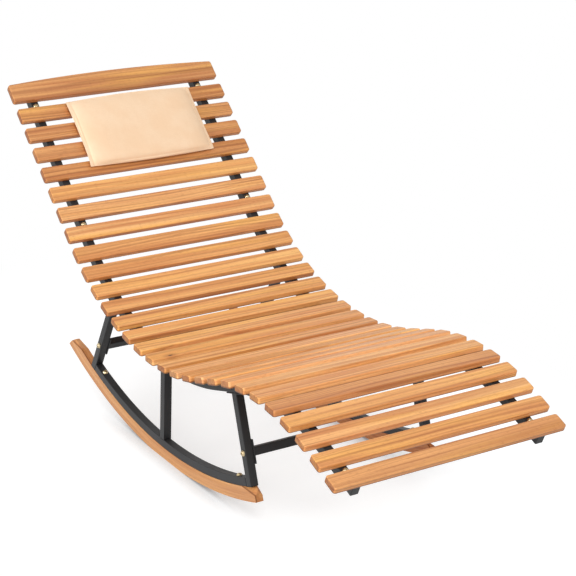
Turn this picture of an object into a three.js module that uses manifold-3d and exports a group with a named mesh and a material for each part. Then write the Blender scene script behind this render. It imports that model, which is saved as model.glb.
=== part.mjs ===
// Rocking chaise lounge: hardwood slats on two S-curved steel rails, carried by two bow rockers.
// Millimetres, +Z up, +X towards the foot end, +Y to the sitter's left, origin on the floor under the middle.
import * as THREE from "three";
import { mergeVertices } from "three/addons/utils/BufferGeometryUtils.js";
import Module from "manifold-3d";

// General
const clearance = 0.3; // between pieces that touch
const facetLength = 20; // longest flat along a bent edge
const cornerPieces = 3; // flats round a slat's corner
const archPieces = 12; // flats along the headboard's arch
const cutOverrun = 10; // how far a cutter runs past what it cuts
const degrees = Math.PI / 180;

// Wooden slats
const slatLength = 600;
const slatWidth = 40;
const slatThickness = 16;
const slatEdgeRadius = 2.5;
const slatCornerRadius = 6; // of the four corners seen from above
const slatCount = 28; // below the headboard
const headboardRise = 10.5; // of its arched upper edge
const headboardEndWidth = 52.5;
const headboardGap = 22.5; // to the first slat

// Steel tube
const tubeSide = 20;
const tubeWall = 1.5;

// Rail line, along the top of each rail from the head end to the foot end
const backLength = 452;
const backAngle = 42.6;
const seatRadius = 653;
const riseAngle = 17.6;
const riseLength = 97;
const kneeRadius = 534;
const footAngle = 22;
const footLength = 112;
const railDepth = 25;
const railInset = 50; // from the slat ends to the rail's outer face
const railOverhang = 16; // past the middle of the end slats
const seatLowHeight = 264.3; // floor to rail top at the lowest point of the seat
const seatLowOffset = 27.8; // foot-wards of the middle of the flats on which the lounge stands

// Rockers
const rollRadius = 1221;
const standLength = 150; // flat of the sole on which the shoe stands at rest
const shoeDepth = 30; // at the sole's lowest point before it is flattened
const shoeTopRadius = 1120;
const shoeRearReach = 544; // along the sole, from the lowest point
const shoeFrontReach = 423;
// Tips of the shoe: each side slopes down to a height above the sole, and the end's top leans inboard
const rearTip = {
  outer: { length: 66, height: 16 },
  inner: { length: 64, height: 20 },
  ridgeHeight: 21,
  lean: 17,
};
const frontTip = {
  outer: { length: 61, height: 13.5 },
  inner: { length: 18, height: 14 },
  ridgeHeight: 23,
  lean: 0,
};

// Legs, each from a foot on the rocker to a top under the rail, measured along both from their lowest points
const rearLeg = { footAt: -398, topAt: -304.8 };
const middleLeg = { footAt: -20, topAt: -39.3 };
const frontLeg = { footAt: 392, topAt: 286.2 };
const legPlateReach = 24; // of the top plate, past the leg
const legPlateThickness = 3;

// Stretchers
const stretcherHeight = { rear: 84.5, front: 76 }; // up the leg
const endPlateLength = 56;
const endPlateWidth = 24;
const endPlateThickness = 3;

// Bolts
const boltHeadRadius = 7;
const boltHeadHeight = 5;
const boltHeadEdge = 1.2;
const boltShankRadius = 3;
const boltReach = 12; // of a shank past the tube that it holds
const railBoltReach = 16; // of a rail bolt's shank into the rail
const rockerBoltSpacing = { rear: 48, front: 54 }; // from the leg's foot
const boltSides = 14;
const railBoltsBefore = { head: 1, back: 7, foot: 28 }; // the slat just foot-wards of each bolt

// Headrest pillow and its straps
const pillowLength = 363;
const pillowWidth = 195;
const pillowCentreAt = 167; // from the rails' head end
const pillowSideOffset = 9.5;
const pillowSeamHeight = 12;
const pillowCrown = 14; // above the seam
const pillowBow = { head: 9, foot: 4.5 }; // of the two long sides, at their middle
const pillowDrawIn = 2.5; // of the two short sides, at their middle
const pillowRows = 14;
const pillowColumns = 20;
const strapSlat = 3; // counted from the headboard
const strapSpacing = 200;
const strapWidth = 25;
const strapThickness = 1.2;

// Derived places
const railTrack = slatLength / 2 - railInset - tubeSide / 2; // middle of each side frame
const rollCentre = Math.sqrt(rollRadius ** 2 - (standLength / 2) ** 2);
const shoeTopCentre = rollCentre - rollRadius + shoeDepth + shoeTopRadius;
const tubeBottomRadius = shoeTopRadius - clearance;
const tubeTopRadius = tubeBottomRadius - tubeSide;
const boltHoleRadius = boltShankRadius + clearance;
const pillowLift = strapThickness + 2 * clearance; // over the slats

// Materials
const wood = new THREE.MeshStandardMaterial({ color: 0xc98a52, roughness: 0.55, metalness: 0 });
const steel = new THREE.MeshStandardMaterial({ color: 0x333333, roughness: 0.5, metalness: 0.3 });
const brass = new THREE.MeshStandardMaterial({ color: 0xcbb27c, roughness: 0.3, metalness: 1 });
const cloth = new THREE.MeshStandardMaterial({ color: 0xe6c8a0, roughness: 0.9, metalness: 0 });
const webbing = new THREE.MeshStandardMaterial({ color: 0x2b2b2b, roughness: 0.9, metalness: 0 });

// Solids that are joined or cut
const wasm = await Module();
wasm.setup();

function solidOf(geometry) {
  const bare = geometry.clone();
  bare.deleteAttribute("normal");
  bare.deleteAttribute("uv");
  const merged = mergeVertices(bare);
  return new wasm.Manifold(
    new wasm.Mesh({
      numProp: 3,
      vertProperties: merged.attributes.position.array,
      triVerts: new Uint32Array(merged.index.array),
    }),
  );
}

function geometryOf(solid) {
  const mesh = solid.getMesh();
  const geometry = new THREE.BufferGeometry();
  geometry.setAttribute("position", new THREE.BufferAttribute(mesh.vertProperties, mesh.numProp));
  geometry.setIndex(new THREE.BufferAttribute(mesh.triVerts, 1));
  geometry.computeVertexNormals();
  return geometry;
}

function cut(geometry, ...cutters) {
  const left = cutters.reduce((solid, cutter) => solid.subtract(solidOf(cutter)), solidOf(geometry));
  return geometryOf(left);
}

function joined(...geometries) {
  const [first, ...others] = geometries.map(solidOf);
  return geometryOf(others.reduce((whole, other) => whole.add(other), first));
}

// A side view outline of {x, z} points, given a width across the lounge
function sideSolid(points, width) {
  const shape = new THREE.Shape(points.map((point) => new THREE.Vector2(point.x, point.z)));
  const geometry = new THREE.ExtrudeGeometry(shape, { depth: width, bevelEnabled: false });
  geometry.rotateX(Math.PI / 2);
  geometry.translate(0, width / 2, 0);
  return geometry;
}

// The point that lies depth below a spot {x, z, angle} on a line
function below(spot, depth) {
  return {
    x: spot.x + depth * Math.sin(spot.angle),
    z: spot.z - depth * Math.cos(spot.angle),
    angle: spot.angle,
  };
}

// A hole square to the line at a spot, from above it to depth below it
function holeAt(spot, radius, above, depth) {
  const hole = new THREE.CylinderGeometry(radius, radius, above + depth, boltSides);
  hole.rotateX(Math.PI / 2);
  hole.translate(0, 0, (above - depth) / 2);
  hole.rotateY(-spot.angle);
  hole.translate(spot.x, 0, spot.z);
  return hole;
}

// Rail line
const railSections = [
  { length: backLength, turn: 0 },
  { length: seatRadius * (backAngle + riseAngle) * degrees, turn: 1 / seatRadius },
  { length: riseLength, turn: 0 },
  { length: kneeRadius * (riseAngle + footAngle) * degrees, turn: -1 / kneeRadius },
  { length: footLength, turn: 0 },
];
const railLength = railSections.reduce((sum, section) => sum + section.length, 0);
const seatLowStation = backLength + seatRadius * backAngle * degrees;

function travel(from, distance, turn) {
  const angle = from.angle + distance * turn;
  if (turn === 0) {
    const x = from.x + distance * Math.cos(angle);
    return { x, z: from.z + distance * Math.sin(angle), angle };
  }
  const x = from.x + (Math.sin(angle) - Math.sin(from.angle)) / turn;
  return { x, z: from.z + (Math.cos(from.angle) - Math.cos(angle)) / turn, angle };
}

function travelRail(station) {
  let spot = { x: 0, z: 0, angle: -backAngle * degrees };
  let left = station;
  for (const section of railSections) {
    const distance = Math.min(left, section.length);
    spot = travel(spot, distance, section.turn);
    left -= distance;
    if (left <= 0) break;
  }
  return spot;
}

const seatLow = travelRail(seatLowStation);

function railSpot(station) {
  const spot = travelRail(station);
  return {
    x: spot.x - seatLow.x + seatLowOffset,
    z: spot.z - seatLow.z + seatLowHeight,
    angle: spot.angle,
  };
}

function turnAt(station) {
  let end = 0;
  for (const section of railSections) {
    end += section.length;
    if (station < end) return section.turn;
  }
  return 0;
}

// Stations for the corners of a rail's outline: section ends, and evenly along each arc
function railStations(from, to) {
  const stations = [from];
  let start = 0;
  for (const section of railSections) {
    const pieces = section.turn === 0 ? 1 : Math.ceil(section.length / facetLength);
    for (let i = 1; i <= pieces; i++) {
      const station = start + (section.length * i) / pieces;
      if (station > from && station < to) stations.push(station);
    }
    start += section.length;
  }
  return [...stations, to];
}

function railBand(from, to, topDepth, bottomDepth, width) {
  const spots = railStations(from, to).map(railSpot);
  const top = spots.map((spot) => below(spot, topDepth));
  const bottom = spots.map((spot) => below(spot, bottomDepth)).reverse();
  return sideSolid([...top, ...bottom], width);
}

// Places of the slats along the rail
const headboardStation = railOverhang;
const firstSlatStation = headboardStation + slatWidth + headboardGap;
const lastSlatStation = railLength - railOverhang;
const slatPitch = (lastSlatStation - firstSlatStation) / (slatCount - 1);

function slatStation(number) {
  return number === 0 ? headboardStation : firstSlatStation + (number - 1) * slatPitch;
}

// On the hollow of the seat a flat slat rests on its edges, so its middle stands higher
function slatSpot(number) {
  const station = slatStation(number);
  const hollow = (Math.max(0, turnAt(station)) * slatWidth ** 2) / 8;
  return below(railSpot(station), -clearance - hollow);
}

function railBoltStation(before) {
  const ahead = slatStation(before) - slatWidth / 2;
  const behind = slatStation(before - 1) + slatWidth / 2;
  return (ahead + behind) / 2;
}

// Slats, with x across the slat, y along it and z up from its underside
function plank(shape) {
  const geometry = new THREE.ExtrudeGeometry(shape, {
    depth: slatThickness - 2 * slatEdgeRadius,
    bevelThickness: slatEdgeRadius,
    bevelSize: slatEdgeRadius,
    bevelOffset: -slatEdgeRadius,
    bevelSegments: 3,
  });
  geometry.translate(0, 0, slatEdgeRadius);
  return geometry;
}

// Points of an outline with a corner rounded off between two neighbours
function roundedCorner(before, corner, after) {
  const toBefore = before.clone().sub(corner).normalize();
  const toAfter = after.clone().sub(corner).normalize();
  const half = Math.acos(toBefore.dot(toAfter)) / 2;
  const middle = toBefore.clone().add(toAfter).normalize();
  const centre = corner.clone().addScaledVector(middle, slatCornerRadius / Math.sin(half));
  const start = corner.clone().addScaledVector(toBefore, slatCornerRadius / Math.tan(half)).sub(centre);
  const sweep = (Math.PI - 2 * half) * Math.sign(toAfter.cross(toBefore));
  const steps = Array.from({ length: cornerPieces + 1 }, (_, i) => (sweep * i) / cornerPieces);
  return steps.map((angle) => start.clone().rotateAround(new THREE.Vector2(), angle).add(centre));
}

function slatGeometry() {
  const corners = [[-1, -1], [1, -1], [1, 1], [-1, 1]].map(
    ([across, along]) => new THREE.Vector2((across * slatWidth) / 2, (along * slatLength) / 2),
  );
  const outline = corners.map((corner, i) => roundedCorner(corners.at(i - 1), corner, corners[(i + 1) % 4]));
  return plank(new THREE.Shape(outline.flat()));
}

function headboardGeometry() {
  const archRadius = (headboardRise ** 2 + (slatLength / 2) ** 2) / (2 * headboardRise);
  const archSweep = Math.asin(slatLength / 2 / archRadius);
  const footEdge = slatWidth / 2;
  const endEdge = footEdge - headboardEndWidth;
  const arch = Array.from({ length: archPieces + 1 }, (_, i) => {
    const sweep = archSweep * (1 - (2 * i) / archPieces);
    const rise = archRadius * (Math.cos(sweep) - Math.cos(archSweep));
    return new THREE.Vector2(endEdge - rise, archRadius * Math.sin(sweep));
  });
  const foot = [-1, 1].map((along) => new THREE.Vector2(footEdge, (along * slatLength) / 2));
  const points = [...arch, ...foot];
  const outline = points.map((point, i) => {
    const onArch = i > 0 && i < archPieces;
    return onArch ? [point] : roundedCorner(points.at(i - 1), point, points[(i + 1) % points.length]);
  });
  return plank(new THREE.Shape(outline.flat()));
}

// Rails of bent square tube, open at the head end and closed at the foot end
function railGeometry() {
  const outside = railBand(0, railLength, 0, railDepth, tubeSide);
  const innerEnd = railLength - tubeWall;
  const innerWidth = tubeSide - 2 * tubeWall;
  const bore = railBand(tubeWall - cutOverrun, innerEnd, tubeWall, railDepth - tubeWall, innerWidth);
  const holes = Object.values(railBoltsBefore).map((before) =>
    holeAt(railSpot(railBoltStation(before)), boltHoleRadius, cutOverrun, 2 * tubeWall),
  );
  return cut(outside, bore, ...holes);
}

// Angles from one to another, a facet apart along the sole
function evenly(from, to) {
  const pieces = Math.ceil((Math.abs(to - from) * rollRadius) / facetLength);
  return Array.from({ length: pieces + 1 }, (_, i) => from + ((to - from) * i) / pieces);
}

// Rocker arcs: a spot on a circle of some radius, at a distance along the shoe's top
function arcSpot(radius, centre, angle) {
  return { x: radius * Math.sin(angle), z: centre - radius * Math.cos(angle), angle };
}

function rockerSpot(radius, distance) {
  return arcSpot(radius, shoeTopCentre, distance / shoeTopRadius);
}

function rockerBand(from, to, outerRadius, innerRadius, width) {
  const angles = evenly(from / shoeTopRadius, to / shoeTopRadius);
  const lower = angles.map((angle) => arcSpot(outerRadius, shoeTopCentre, angle));
  const upper = angles.map((angle) => arcSpot(innerRadius, shoeTopCentre, angle)).reverse();
  return sideSolid([...lower, ...upper], width);
}

// Legs: foot and top spots, and the direction from one to the other
function legLine(leg, footRadius) {
  const foot = rockerSpot(footRadius - clearance, leg.footAt);
  const station = seatLowStation + leg.topAt;
  const top = below(railSpot(station), railDepth + clearance + legPlateThickness / 2);
  const lean = Math.atan2(top.x - foot.x, top.z - foot.z);
  return { foot, top, lean, station };
}

// Where a line parallel to the leg, offset sideways, meets the line through a spot along its own angle
function legCorner(line, spot, offset) {
  const along = offset / Math.cos(spot.angle + line.lean);
  return { x: spot.x + along * Math.cos(spot.angle), z: spot.z + along * Math.sin(spot.angle) };
}

function legBody(line, side, footGrowth, topGrowth) {
  const stretch = (spot, growth) => ({
    x: spot.x + growth * Math.sin(line.lean),
    z: spot.z + growth * Math.cos(line.lean),
    angle: spot.angle,
  });
  const foot = stretch(line.foot, -footGrowth);
  const top = stretch(line.top, topGrowth);
  const corners = [
    legCorner(line, foot, -side / 2),
    legCorner(line, foot, side / 2),
    legCorner(line, top, side / 2),
    legCorner(line, top, -side / 2),
  ];
  return sideSolid(corners, side);
}

// The plate on top of a leg, bent to follow the rail
function legPlate(line) {
  const reach = tubeSide / 2 + legPlateReach;
  const top = railDepth + clearance;
  return railBand(line.station - reach, line.station + reach, top, top + legPlateThickness, tubeSide);
}

function stretcherPoint(line, height) {
  return { x: line.foot.x + height * Math.sin(line.lean), z: line.foot.z + height * Math.cos(line.lean) };
}

function crossHole(point) {
  const hole = new THREE.CylinderGeometry(boltHoleRadius, boltHoleRadius, slatLength, boltSides);
  hole.translate(point.x, 0, point.z);
  return hole;
}

function legGeometry(line, drilledAt) {
  const whole = joined(legBody(line, tubeSide, 0, 0), legPlate(line));
  const bore = legBody(line, tubeSide - 2 * tubeWall, cutOverrun, -legPlateThickness);
  return drilledAt ? cut(whole, bore, crossHole(drilledAt)) : cut(whole, bore);
}

const rearLine = legLine(rearLeg, shoeTopRadius);
const middleLine = legLine(middleLeg, tubeTopRadius);
const frontLine = legLine(frontLeg, shoeTopRadius);
const stretcherPoints = {
  rear: stretcherPoint(rearLine, stretcherHeight.rear),
  front: stretcherPoint(frontLine, stretcherHeight.front),
};

// Rocker tube between the rear and front legs
const rockerBoltPlaces = {
  rear: rearLeg.footAt + rockerBoltSpacing.rear,
  front: frontLeg.footAt - rockerBoltSpacing.front,
};

function rockerTubeGeometry() {
  const from = rearLeg.footAt;
  const to = frontLeg.footAt;
  const inner = tubeSide - 2 * tubeWall;
  const outside = rockerBand(from, to, tubeBottomRadius, tubeTopRadius, tubeSide);
  const boreBottom = tubeBottomRadius - tubeWall;
  const bore = rockerBand(from - cutOverrun, to + cutOverrun, boreBottom, boreBottom - inner, inner);
  const legRoom = tubeSide + 2 * clearance;
  const legs = [rearLine, frontLine].map((line) => legBody(line, legRoom, tubeSide, 0));
  const holes = Object.values(rockerBoltPlaces).map((distance) =>
    holeAt(rockerSpot(tubeTopRadius, distance), boltHoleRadius, cutOverrun, tubeSide + cutOverrun),
  );
  return cut(outside, bore, ...legs, ...holes);
}

// Wooden shoe, with a flat at its lowest point and tips that slope off to both sides of a ridge
function shoeOutline() {
  const rear = -shoeRearReach / rollRadius;
  const front = shoeFrontReach / rollRadius;
  const stand = Math.asin(standLength / 2 / rollRadius);
  const sole = [...evenly(rear, -stand), ...evenly(stand, front)];
  const top = evenly(front - frontTip.lean / rollRadius, rear + rearTip.lean / rollRadius);
  return [...sole.map((angle) => arcSpot(rollRadius, rollCentre, angle)), ...top.map(shoeTopAlong)];
}

// The point of the shoe's top that is square above the sole at an angle
function shoeTopAlong(angle) {
  const drop = rollCentre - shoeTopCentre;
  const side = drop * Math.sin(angle);
  const radius = Math.sqrt(shoeTopRadius ** 2 - side ** 2) + drop * Math.cos(angle);
  return arcSpot(radius, rollCentre, angle);
}

// Everything above the plane through three points
function blockAbove(a, b, c) {
  const size = rearTip.outer.length + frontTip.outer.length;
  const normal = new THREE.Vector3().crossVectors(b.clone().sub(a), c.clone().sub(a)).normalize();
  if (normal.z < 0) normal.negate();
  const block = new THREE.BoxGeometry(2 * size, 2 * size, size);
  block.translate(0, 0, size / 2);
  block.applyQuaternion(new THREE.Quaternion().setFromUnitVectors(new THREE.Vector3(0, 0, 1), normal));
  block.translate(b.x, b.y, b.z);
  return block;
}

function tipCut(slope, ridgeHeight, reach, side) {
  const angle = reach / rollRadius;
  const onTop = shoeTopAlong(angle - (Math.sign(reach) * slope.length) / rollRadius);
  const edgeEnd = arcSpot(rollRadius - slope.height, rollCentre, angle);
  const ridgeEnd = arcSpot(rollRadius - ridgeHeight, rollCentre, angle);
  return blockAbove(
    new THREE.Vector3(onTop.x, (side * tubeSide) / 2, onTop.z),
    new THREE.Vector3(edgeEnd.x, (side * tubeSide) / 2, edgeEnd.z),
    new THREE.Vector3(ridgeEnd.x, 0, ridgeEnd.z),
  );
}

function tipCuts(tip, reach, outward) {
  const sides = [[tip.outer, outward], [tip.inner, -outward]];
  return sides.map(([slope, side]) => tipCut(slope, tip.ridgeHeight, reach, side));
}

function shoeGeometry(outward) {
  const holes = Object.values(rockerBoltPlaces).map((distance) =>
    holeAt(rockerSpot(shoeTopRadius, distance), boltHoleRadius, cutOverrun, boltReach + 2 * clearance),
  );
  const rearCuts = tipCuts(rearTip, -shoeRearReach, outward);
  const frontCuts = tipCuts(frontTip, shoeFrontReach, outward);
  return cut(sideSolid(shoeOutline(), tubeSide), ...rearCuts, ...frontCuts, ...holes);
}

// Stretcher, with z up the leg and y along the stretcher
function stretcherGeometry() {
  const plateFace = railTrack - tubeSide / 2 - clearance;
  const tubeLength = 2 * (plateFace - endPlateThickness);
  const inner = tubeSide - 2 * tubeWall;
  const tube = new THREE.BoxGeometry(tubeSide, tubeLength, tubeSide);
  const plates = [-1, 1].map((side) => {
    const plate = new THREE.BoxGeometry(endPlateWidth, endPlateThickness, endPlateLength);
    return plate.translate(0, side * (plateFace - endPlateThickness / 2), 0);
  });
  const bore = new THREE.BoxGeometry(inner, tubeLength, inner);
  return cut(joined(tube, ...plates), bore, crossHole({ x: 0, z: 0 }));
}

// Bolt, with z out of its head and its head's underside at z 0
function boltGeometry(shankLength) {
  const profile = [
    [0, -shankLength],
    [boltShankRadius, -shankLength],
    [boltShankRadius, 0],
    [boltHeadRadius, 0],
    [boltHeadRadius, boltHeadHeight - boltHeadEdge],
    [boltHeadRadius - boltHeadEdge, boltHeadHeight],
    [0, boltHeadHeight],
  ].map(([radius, height]) => new THREE.Vector2(radius, height));
  const geometry = new THREE.LatheGeometry(profile, boltSides);
  geometry.rotateX(Math.PI / 2);
  return geometry;
}

// Pillow: two faces that share a seam, with long sides that bow out, and z 0 where it lies on the slats
function pillowGeometry() {
  const fullness = (share) => Math.sqrt(1 - share ** 4);
  const flatness = (share) => (1 - share ** 6) ** (1 / 4);
  const place = (across, along, face) => {
    const bow = across < 0 ? pillowBow.head : pillowBow.foot;
    const x = across * (pillowWidth / 2 + bow * (1 - along ** 2) * across ** 2);
    const y = along * (pillowLength / 2 - pillowDrawIn * (1 - across ** 2) * along ** 2);
    const above = pillowCrown * fullness(across) * fullness(along);
    const under = -pillowSeamHeight * flatness(across) * flatness(along);
    return [x, y, pillowSeamHeight + (face > 0 ? above : under)];
  };
  const positions = [];
  const indices = [];
  const number = new Map();
  const vertex = (row, column, face) => {
    const onSeam = row % pillowRows === 0 || column % pillowColumns === 0;
    const key = [row, column, onSeam ? 1 : face].join();
    if (!number.has(key)) {
      number.set(key, positions.length / 3);
      const across = Math.sin(((row / pillowRows) * 2 - 1) * 90 * degrees);
      const along = Math.sin(((column / pillowColumns) * 2 - 1) * 90 * degrees);
      positions.push(...place(across, along, face));
    }
    return number.get(key);
  };
  for (const face of [1, -1]) {
    for (let row = 0; row < pillowRows; row++) {
      for (let column = 0; column < pillowColumns; column++) {
        const a = vertex(row, column, face);
        const b = vertex(row + 1, column, face);
        const c = vertex(row + 1, column + 1, face);
        const d = vertex(row, column + 1, face);
        indices.push(...(face > 0 ? [a, b, c, a, c, d] : [a, c, b, a, d, c]));
      }
    }
  }
  const geometry = new THREE.BufferGeometry();
  geometry.setAttribute("position", new THREE.Float32BufferAttribute(positions, 3));
  geometry.setIndex(indices);
  geometry.computeVertexNormals();
  return geometry;
}

// Strap: a flat band round a slat, with z up from the slat's underside
function strapGeometry() {
  const inner = { x: slatWidth / 2 + clearance, low: -clearance, high: slatThickness + clearance };
  const ring = (grow) => [
    new THREE.Vector2(-inner.x - grow, inner.low - grow),
    new THREE.Vector2(inner.x + grow, inner.low - grow),
    new THREE.Vector2(inner.x + grow, inner.high + grow),
    new THREE.Vector2(-inner.x - grow, inner.high + grow),
  ];
  const shape = new THREE.Shape(ring(strapThickness));
  shape.holes.push(new THREE.Path(ring(0)));
  const geometry = new THREE.ExtrudeGeometry(shape, { depth: strapWidth, bevelEnabled: false });
  geometry.rotateX(Math.PI / 2);
  geometry.translate(0, strapWidth / 2, 0);
  return geometry;
}

// Assembly
const lounge = new THREE.Group();

function addPiece(parent, name, geometry, material, spot = { x: 0, z: 0, angle: 0 }, y = 0) {
  const mesh = new THREE.Mesh(geometry, material);
  mesh.name = name;
  mesh.position.set(spot.x, y, spot.z);
  mesh.rotation.y = -spot.angle;
  parent.add(mesh);
  return mesh;
}

function addSlats() {
  addPiece(lounge, "headboard", headboardGeometry(), wood, slatSpot(0));
  const geometry = slatGeometry();
  for (let number = 1; number <= slatCount; number++) {
    const name = "slat_" + String(number + 1).padStart(2, "0");
    addPiece(lounge, name, geometry, wood, slatSpot(number));
  }
}

function addSideFrame(sideName, outward) {
  const frame = new THREE.Group();
  frame.position.y = outward * railTrack;
  lounge.add(frame);
  addPiece(frame, "rail_" + sideName, railGeometry(), steel);
  addPiece(frame, "rocker_tube_" + sideName, rockerTubeGeometry(), steel);
  addPiece(frame, "rocker_shoe_" + sideName, shoeGeometry(outward), wood);
  addPiece(frame, "rear_leg_" + sideName, legGeometry(rearLine, stretcherPoints.rear), steel);
  addPiece(frame, "middle_leg_" + sideName, legGeometry(middleLine), steel);
  addPiece(frame, "front_leg_" + sideName, legGeometry(frontLine, stretcherPoints.front), steel);

  const railBolt = boltGeometry(railBoltReach);
  for (const [place, before] of Object.entries(railBoltsBefore)) {
    const spot = below(railSpot(railBoltStation(before)), -clearance);
    addPiece(frame, "rail_bolt_" + place + "_" + sideName, railBolt, brass, spot);
  }
  const rockerBolt = boltGeometry(tubeSide + boltReach);
  for (const [place, distance] of Object.entries(rockerBoltPlaces)) {
    const spot = below(rockerSpot(tubeTopRadius, distance), -clearance);
    addPiece(frame, "rocker_bolt_" + place + "_" + sideName, rockerBolt, brass, spot);
  }
  const stretcherBolt = boltGeometry(tubeSide + endPlateThickness + boltReach);
  for (const [place, point] of Object.entries(stretcherPoints)) {
    const bolt = addPiece(frame, "stretcher_bolt_" + place + "_" + sideName, stretcherBolt, brass);
    bolt.position.set(point.x, outward * (tubeSide / 2 + clearance), point.z);
    bolt.rotation.x = -outward * 90 * degrees;
  }
}

function addStretchers() {
  const leans = { rear: rearLine.lean, front: frontLine.lean };
  for (const [place, point] of Object.entries(stretcherPoints)) {
    const spot = { ...point, angle: -leans[place] };
    addPiece(lounge, place + "_stretcher", stretcherGeometry(), steel, spot);
  }
}

function addPillow() {
  const spot = below(railSpot(pillowCentreAt), -clearance - slatThickness - pillowLift);
  addPiece(lounge, "headrest_pillow", pillowGeometry(), cloth, spot, pillowSideOffset);
  for (const [sideName, side] of [["right", -1], ["left", 1]]) {
    const y = pillowSideOffset + (side * strapSpacing) / 2;
    addPiece(lounge, "pillow_strap_" + sideName, strapGeometry(), webbing, slatSpot(strapSlat), y);
  }
}

addSlats();
addSideFrame("right", -1);
addSideFrame("left", 1);
addStretchers();
addPillow();

// The origin lies on the floor under the middle of the whole lounge
const bounds = new THREE.Box3().setFromObject(lounge, true);
lounge.position.set(-(bounds.min.x + bounds.max.x) / 2, 0, -bounds.min.z);

export default lounge;
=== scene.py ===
import math
import random

import bmesh
import bpy
from mathutils import Matrix, Vector, noise
from mathutils.bvhtree import BVHTree


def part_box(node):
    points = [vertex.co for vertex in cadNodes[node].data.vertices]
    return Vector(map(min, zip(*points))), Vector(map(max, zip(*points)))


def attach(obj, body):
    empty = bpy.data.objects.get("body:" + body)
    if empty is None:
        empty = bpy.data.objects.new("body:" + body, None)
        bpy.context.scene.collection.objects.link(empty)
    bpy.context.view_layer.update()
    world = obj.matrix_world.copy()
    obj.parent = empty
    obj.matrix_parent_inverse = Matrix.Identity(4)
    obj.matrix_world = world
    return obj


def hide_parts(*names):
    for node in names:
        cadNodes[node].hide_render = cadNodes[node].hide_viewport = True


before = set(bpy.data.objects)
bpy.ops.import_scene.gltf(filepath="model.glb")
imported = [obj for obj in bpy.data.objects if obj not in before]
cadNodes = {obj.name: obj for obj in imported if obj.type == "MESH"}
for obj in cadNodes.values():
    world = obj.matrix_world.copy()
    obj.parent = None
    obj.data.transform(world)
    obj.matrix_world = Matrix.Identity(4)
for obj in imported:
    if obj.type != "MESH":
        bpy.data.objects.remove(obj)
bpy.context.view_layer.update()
scene = bpy.context.scene
sideNames = {"right": -1, "left": 1}
print("frame loaded,", len(cadNodes), "nodes")


# shared helpers

def paint(red, green, blue):
    # a colour as seen on screen, 0 to 255, in the shader's linear values
    shares = [value / 255 for value in (red, green, blue)]
    return (*[s / 12.92 if s < 0.04 else ((s + 0.055) / 1.055) ** 2.4 for s in shares], 1)


def newMaterial(name, **shaderValues):
    material = bpy.data.materials.new(name)
    material.use_nodes = True
    tree = material.node_tree
    tree.nodes.clear()
    output = tree.nodes.new("ShaderNodeOutputMaterial")
    shader = tree.nodes.new("ShaderNodeBsdfPrincipled")
    for socketName, value in shaderValues.items():
        shader.inputs[socketName.replace("_", " ")].default_value = value
    tree.links.new(shader.outputs[0], output.inputs["Surface"])
    return material, tree, shader


def put(tree, kind, values=None, **settings):
    # adds a shader node; a value that is a socket is linked, any other is typed in
    node = tree.nodes.new("ShaderNode" + kind)
    for setting, value in settings.items():
        setattr(node, setting, value)
    for key, value in (values or {}).items():
        if isinstance(value, bpy.types.NodeSocket):
            tree.links.new(value, node.inputs[key])
        else:
            node.inputs[key].default_value = value
    return node


def calc(tree, operation, *values):
    return put(tree, "Math", dict(enumerate(values)), operation=operation).outputs[0]


def blendColours(tree, share, first, second, mode="MIX"):
    values = {0: share, 6: first, 7: second}
    return put(tree, "Mix", values, data_type="RGBA", blend_type=mode).outputs[2]


def ease(tree, value, low, high, lowTo=0.0, highTo=1.0):
    values = {0: value, 1: low, 2: high, 3: lowTo, 4: highTo}
    return put(tree, "MapRange", values, interpolation_type="SMOOTHSTEP").outputs[0]


def noiseOf(tree, vector, scale, detail=2.0, roughness=0.5):
    values = {"Vector": vector, "Scale": scale, "Detail": detail, "Roughness": roughness}
    return put(tree, "TexNoise", values).outputs[0]


def stretched(tree, vector, scale):
    return put(tree, "VectorMath", {0: vector, 1: scale}, operation="MULTIPLY").outputs[0]


def bumped(tree, shader, height, strength, distance):
    bump = put(tree, "Bump", {"Height": height, "Strength": strength, "Distance": distance})
    tree.links.new(bump.outputs[0], shader.inputs["Normal"])


def localSpace(tree, turn):
    # object coordinates measured in a piece's own directions, from its middle
    coordinates = put(tree, "TexCoord")
    mapping = put(tree, "Mapping", {"Vector": coordinates.outputs["Object"]}, vector_type="TEXTURE")
    mapping.inputs["Location"].default_value = turn.translation
    mapping.inputs["Rotation"].default_value = turn.to_euler()
    return mapping.outputs[0]


def bentSpace(tree, radius, centre, depth):
    # object coordinates unrolled along an arc: outwards, along the arc, sideways
    axes = put(tree, "SeparateXYZ", {0: put(tree, "TexCoord").outputs["Object"]}).outputs
    ahead = calc(tree, "SUBTRACT", axes[0], centre[0])
    below = calc(tree, "SUBTRACT", centre[1], axes[2])
    squares = [calc(tree, "MULTIPLY", value, value) for value in (ahead, below)]
    reach = calc(tree, "SQRT", calc(tree, "ADD", *squares))
    outwards = calc(tree, "SUBTRACT", reach, radius)
    along = calc(tree, "MULTIPLY", calc(tree, "ARCTAN2", ahead, below), radius)
    sideways = calc(tree, "SUBTRACT", axes[1], depth)
    return put(tree, "CombineXYZ", {0: outwards, 1: along, 2: sideways}).outputs[0]


def dress(node, material):
    node.data.materials.clear()
    node.data.materials.append(material)
    for polygon in node.data.polygons:
        polygon.material_index = 0


def newPiece(name, mesh, material=None):
    piece = bpy.data.objects.new(name, mesh)
    scene.collection.objects.link(piece)
    if material:
        dress(piece, material)
    return piece


def meshFrom(name, build):
    # runs build on an empty bmesh and returns the mesh
    shape = bmesh.new()
    build(shape)
    mesh = bpy.data.meshes.new(name)
    shape.to_mesh(mesh)
    shape.free()
    return mesh


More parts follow.
